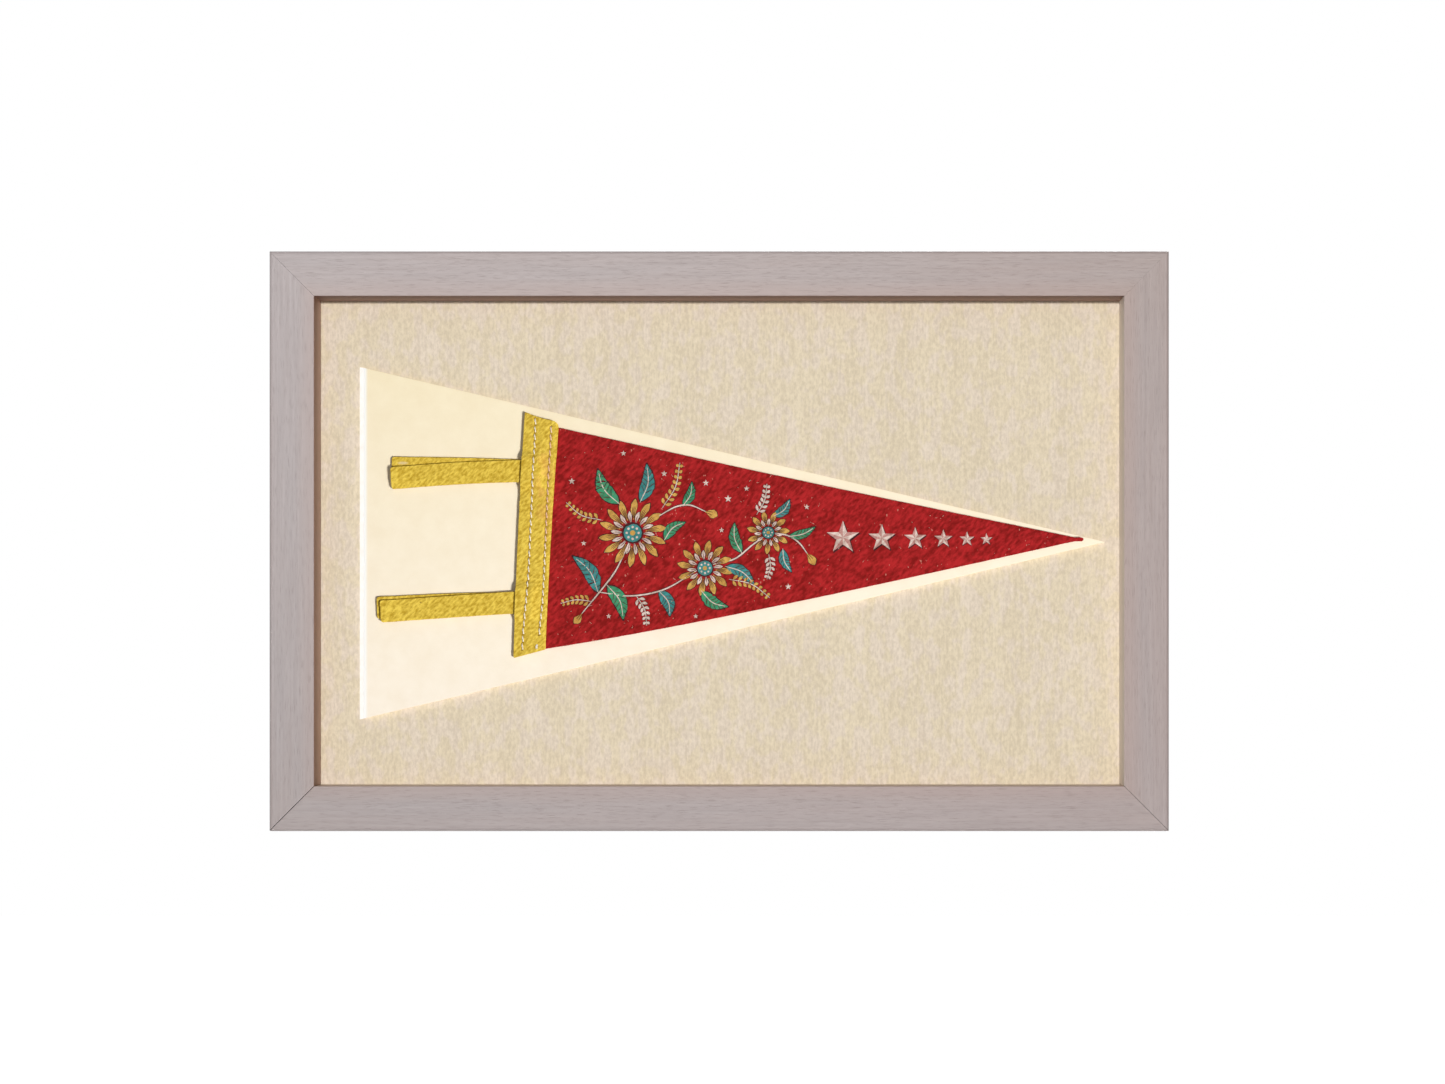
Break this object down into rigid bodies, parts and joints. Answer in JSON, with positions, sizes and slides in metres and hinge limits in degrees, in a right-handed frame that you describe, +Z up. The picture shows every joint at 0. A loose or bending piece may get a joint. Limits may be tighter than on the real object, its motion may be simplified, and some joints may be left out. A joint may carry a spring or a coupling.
{
  "type": "pennant flag in picture frame",
  "caption": "Long triangular felt pennant with a stitched heading strip and paired ties, on a cream panel and linen-covered board in a mitred wood picture frame.",
  "frame": {"origin": "middle of the flush back, in the plane that lies against the wall", "axes": "+X along the length towards the pennant's tip, +Y into the wall, +Z up; the picture faces -Y"},
  "size_m": [0.4822, 0.025, 0.3106],
  "materials": {
    "washed_wood": "grey whitewashed wood, matt",
    "brown_board": "plain brown wood-fibre board",
    "linen": "natural linen with upright slubs",
    "cream_board": "cream paper-faced card, smooth and matt",
    "red_felt": "pressed wool felt, crimson, lightly pilled",
    "yellow_felt": "pressed wool felt, golden yellow, aged",
    "cream_thread": "twisted cream cotton thread",
    "print_ink": "matt screen ink soaked into felt, in cream, gold, teal, green and dark outline"
  },
  "bodies": {
    "root": {"frame_top": "washed_wood", "frame_bottom": "washed_wood", "frame_left": "washed_wood", "frame_right": "washed_wood", "back_board": "brown_board", "linen_board": "linen", "cream_panel": "cream_board", "pennant_felt": "red_felt", "heading": "yellow_felt", "tie_upper_back": "yellow_felt", "tie_upper_front": "yellow_felt", "tie_lower_back": "yellow_felt", "tie_lower_front": "yellow_felt"}
  },
  "joints": []
}
